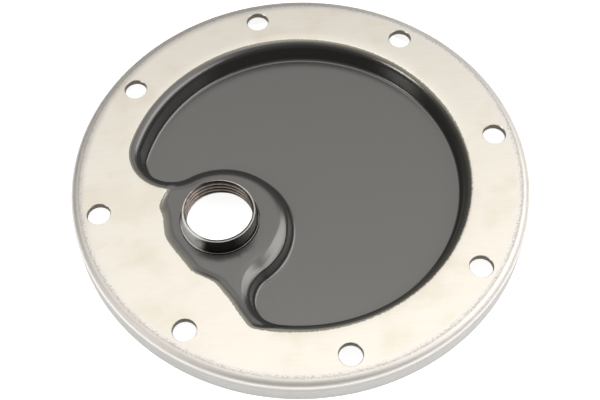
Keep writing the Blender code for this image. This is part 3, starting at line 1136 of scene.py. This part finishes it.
# %% [markdown]
# ## The neck's steel
# The neck was turned on a lathe and then coated with the plate. Outside it is a dark mirror,
# rubbed bare at the rim, with a pale painted highlight on one side. Inside, the thread holds a
# brown film of oil and old sealant in its roots, drawn darker there as painted shade, while its
# crests are rubbed clean.

# %% Finish of the neck
# side of the neck's outside that carries the painted highlight
PAINTED_HIGHLIGHT_SIDE = math.radians(178.0)
NECK_COAT = (0.15, 0.143, 0.135)
NECK_RIM_GREY = (0.44, 0.42, 0.395)
NECK_PAINTED_HIGHLIGHT = (0.95, 0.93, 0.90)
CREST_BROWN = (0.22, 0.185, 0.16)
# brown film in the thread's roots, drawn near black as painted shade
ROOT_FILM_AND_PAINTED_SHADE = (0.045, 0.034, 0.028)


def neck_finish():
    """Coated outside with a bare rim and a painted highlight on one side, oily thread inside
    with painted shade in its roots.
    """
    material, graph = new_finish("turned_neck_steel")
    place = graph.point(origin=NECK_FOOT)
    x, y, z = graph.axes(place)
    radius = graph.distance(x, y)
    below = NECK_TOP - z
    ring = graph.noise(graph.point((0.15, 0.15, 14.0), origin=NECK_FOOT), 1.0, 3.0)
    cloud = graph.noise(place, 0.5, 4.0)
    ruffle = cloud - 0.5
    bore = 1 - graph.step(radius, THREAD_MAJOR + 0.02, THREAD_MAJOR + 0.08)
    bore *= graph.step(below, 0.02, 0.3)
    # painted shade: the thread's roots are drawn near black over the brown film
    root = graph.step(radius + ruffle * 0.5, 9.28, 9.6) * bore
    # painted highlight: one side of the neck's outside is made pale, duller and less metallic
    bearing = graph.toward(x, y, PAINTED_HIGHLIGHT_SIDE) / radius
    painted_highlight = graph.step(bearing + ruffle * 0.25, 0.72, 0.96)
    coated = graph.step(below + ruffle * 0.5, 0.0, 0.25) * (1 - painted_highlight)
    rim_wear_and_painted_highlight = graph.mix(painted_highlight, NECK_RIM_GREY, NECK_PAINTED_HIGHLIGHT)
    steel = graph.mix(coated, rim_wear_and_painted_highlight, graph.shade(NECK_COAT, 0.85 + 0.3 * cloud))
    colour = graph.mix(bore, steel, graph.mix(root, CREST_BROWN, ROOT_FILM_AND_PAINTED_SHADE))
    painted_highlight_outside = painted_highlight * (1 - bore)
    close_finish(graph, base_color=colour, metallic=1 - 0.85 * painted_highlight_outside,
                 roughness=0.09 + 0.06 * cloud + 0.2 * bore + 0.35 * painted_highlight_outside,
                 normal=graph.bump(ring * 0.5 + cloud * 0.4, 0.012))
    return material


neck_steel = neck_finish()
print("finish:", neck_steel.name)

# %% [markdown]
# ## The weld's metal
# Weld metal is duller than the parts it joins and carries the colours of the heat: straw,
# brown and blue-grey, each ripple a little different, with specks of slag in the hollows.

# %% Finish of the bead
HEAT_TINTS = [(0.3, (0.30, 0.25, 0.19)), (0.5, (0.36, 0.33, 0.29)), (0.7, (0.22, 0.23, 0.26))]


def bead_finish():
    """Heat-coloured weld metal with slag specks."""
    material, graph = new_finish("weld_metal")
    place = graph.point()
    tint = graph.noise(place, 0.5, 3.0)
    speck = graph.noise(place, 3.5, 4.0, 0.7)
    heat = graph.node("ShaderNodeValToRGB", {"stops": HEAT_TINTS}, {"Fac": tint})
    colour = graph.shade(heat, 0.6 + 0.6 * speck)
    close_finish(graph, base_color=colour, metallic=1.0, roughness=0.38 + 0.25 * speck,
                 normal=graph.bump(speck, 0.03))
    return material


weld_metal = bead_finish()
print("finish:", weld_metal.name)

# %% [markdown]
# ## Putting the finishes on and fixing the pieces
# Each surface stands for its solid and rides on the same body as it.

# %% Materials, bodies and slots
plate.data.materials[0] = plate_top
plate.data.materials[1] = underside
plate.data.materials[DRILLED_SLOT] = drilled
neck.data.materials.append(neck_steel)
bead.data.materials.append(weld_metal)

for piece, node, slot in ((plate, "cover_plate", "sheet_steel"),
                          (neck, "threaded_neck", "neck_steel"),
                          (bead, "weld_bead", "bead_metal")):
    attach(piece, "root")
    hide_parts(node)
    print(piece.name, "stands for", node)

# %% [markdown]
# ## Floor and light
# The plate lies on a white light table, so the holes show white and hardly any shadow falls.
# A polished or ground surface shows little but its surroundings, so the room decides how
# bright the flange and how dark the well look. It is dim near the horizon and bright high up,
# most of all on the far side. A long panel on the right lights the ramp and the lip, a small
# lamp on the left lights the side of the neck that also carries a painted highlight, and a
# faint panel hangs above and behind.

# %% Light table
TABLE_RADIUS = 2500.0
TABLE_WHITE = (0.9, 0.9, 0.89)
PURE_WHITE = (1.0, 1.0, 1.0, 1.0)


def make_floor():
    """A round white table, lit from within, flush with the foot of the plate."""
    rings = np.linspace(0.0, TABLE_RADIUS, 12)
    profile = np.stack([rings, 0 * rings - 0.02], axis=1)
    mesh = mesh_from_grid("floor", turned_points(profile, columns=96))
    clean(mesh, merge_distance=0.01)
    if mesh.polygons[0].normal.z < 0:
        mesh.flip_normals()
    floor = new_piece("floor", mesh)
    material, graph = new_finish("light_table")
    colour = graph.shade(TABLE_WHITE, 0.98 + 0.04 * graph.noise(graph.point(), 0.01, 2.0))
    close_finish(graph, base_color=colour, roughness=0.6, emission_color=PURE_WHITE,
                 emission_strength=0.85)
    floor.data.materials.append(material)
    return floor


floor = make_floor()
print("light table:", floor.name)

# %% Room
FAR_SIDE = math.radians(55.5)
ROOM_COLOUR = (1.0, 0.99, 0.975, 1.0)
ROOM_DIM = 0.1
ROOM_BRIGHT = 1.03
BACKDROP = 0.93


def make_room():
    """Light from all round: dim at the horizon, growing brighter with height, and brightest on
    the far side. What the camera sees directly is a plain pale backdrop."""
    world = bpy.data.worlds.new("studio")
    world.use_nodes = True
    bpy.context.scene.world = world
    graph = Graph(world.node_tree)
    x, y, up = graph.axes(graph.node("ShaderNodeTexCoord", output="Generated"))
    far = graph.step(graph.toward(x, y, FAR_SIDE), -0.4, 0.2)
    lit = ROOM_DIM + (0.22 + 0.78 * far) * graph.step(up, 0.56, 0.8) * ROOM_BRIGHT
    seen = graph.node("ShaderNodeLightPath", output="Is Camera Ray")
    sky = graph.node("ShaderNodeBackground", {},
                     {"Color": ROOM_COLOUR, "Strength": lit + (BACKDROP - lit) * seen})
    graph.node("ShaderNodeOutputWorld", {}, {"Surface": sky})


make_room()
print("room:", bpy.context.scene.world.name)

# %% Panels and lamp


def panel(name, azimuth, elevation, distance, width, height, brightness):
    """A soft rectangular panel that faces the plate, from a compass angle and a height angle.
    Its power is brightness * pi * area, so brightness is the value that a mirror would show."""
    light = bpy.data.lights.new(name, "AREA")
    light.shape = "RECTANGLE"
    light.size = width
    light.size_y = height
    light.energy = brightness * math.pi * width * height
    made = bpy.data.objects.new(name, light)
    bpy.context.scene.collection.objects.link(made)
    a, e = math.radians(azimuth), math.radians(elevation)
    toward = np.array([math.cos(a) * math.cos(e), math.sin(a) * math.cos(e), math.sin(e)])
    made.location = distance * toward
    made.rotation_euler = (math.pi / 2 - e, 0.0, a + math.pi / 2)


panel("overhead_panel", azimuth=55.0, elevation=78.0, distance=1.3,
      width=0.8, height=0.6, brightness=0.3)
panel("right_panel", azimuth=-30.0, elevation=44.0, distance=1.2,
      width=1.5, height=0.6, brightness=2.0)
panel("left_lamp", azimuth=170.0, elevation=32.0, distance=1.2,
      width=0.35, height=0.35, brightness=4.5)

# %% [markdown]
# ## Camera
# The camera looks down on the plate from the neck's side with a medium telephoto lens. Its
# place is given as the compass angle of the view's right-hand side, an angle above the
# plate and a distance, with a small roll and shift for the framing.

# %% Camera
RIGHT_HAND_ANGLE = math.radians(-34.5)
CAMERA_ELEVATION = math.radians(57.96)
CAMERA_ROLL = math.radians(1.38)
CAMERA_DISTANCE = 337.3
CAMERA_ACROSS = 0.05
CAMERA_UPWARD = 7.54
LENS_LENGTH = 71.47
SENSOR_WIDTH = 36.0


def make_camera():
    """right and up span the view and back points from the plate to the camera:
    right = (cos a, sin a, 0), back = (sin a cos e, -cos a cos e, sin e), up = back x right.
    right and up are then turned by the roll."""
    a, e, roll = RIGHT_HAND_ANGLE, CAMERA_ELEVATION, CAMERA_ROLL
    right = np.array([math.cos(a), math.sin(a), 0.0])
    back = np.array([math.sin(a) * math.cos(e), -math.cos(a) * math.cos(e), math.sin(e)])
    up = np.cross(back, right)
    rolled_right = math.cos(roll) * right - math.sin(roll) * up
    rolled_up = math.sin(roll) * right + math.cos(roll) * up
    place = np.array([0.0, 0.0, FLANGE_TOP]) + CAMERA_DISTANCE * back
    place -= CAMERA_ACROSS * rolled_right + CAMERA_UPWARD * rolled_up
    lens = bpy.data.cameras.new("camera")
    lens.sensor_width = SENSOR_WIDTH
    lens.lens = LENS_LENGTH
    lens.clip_start = 0.01
    lens.clip_end = 20.0
    camera = bpy.data.objects.new("camera", lens)
    bpy.context.scene.collection.objects.link(camera)
    matrix = np.eye(4)
    matrix[:3, 0], matrix[:3, 1], matrix[:3, 2] = rolled_right, rolled_up, back
    matrix[:3, 3] = place * MM
    camera.matrix_world = matrix.T
    bpy.context.scene.camera = camera


make_camera()
bpy.context.scene.view_settings.view_transform = "Standard"
print("camera:", bpy.context.scene.camera.name)
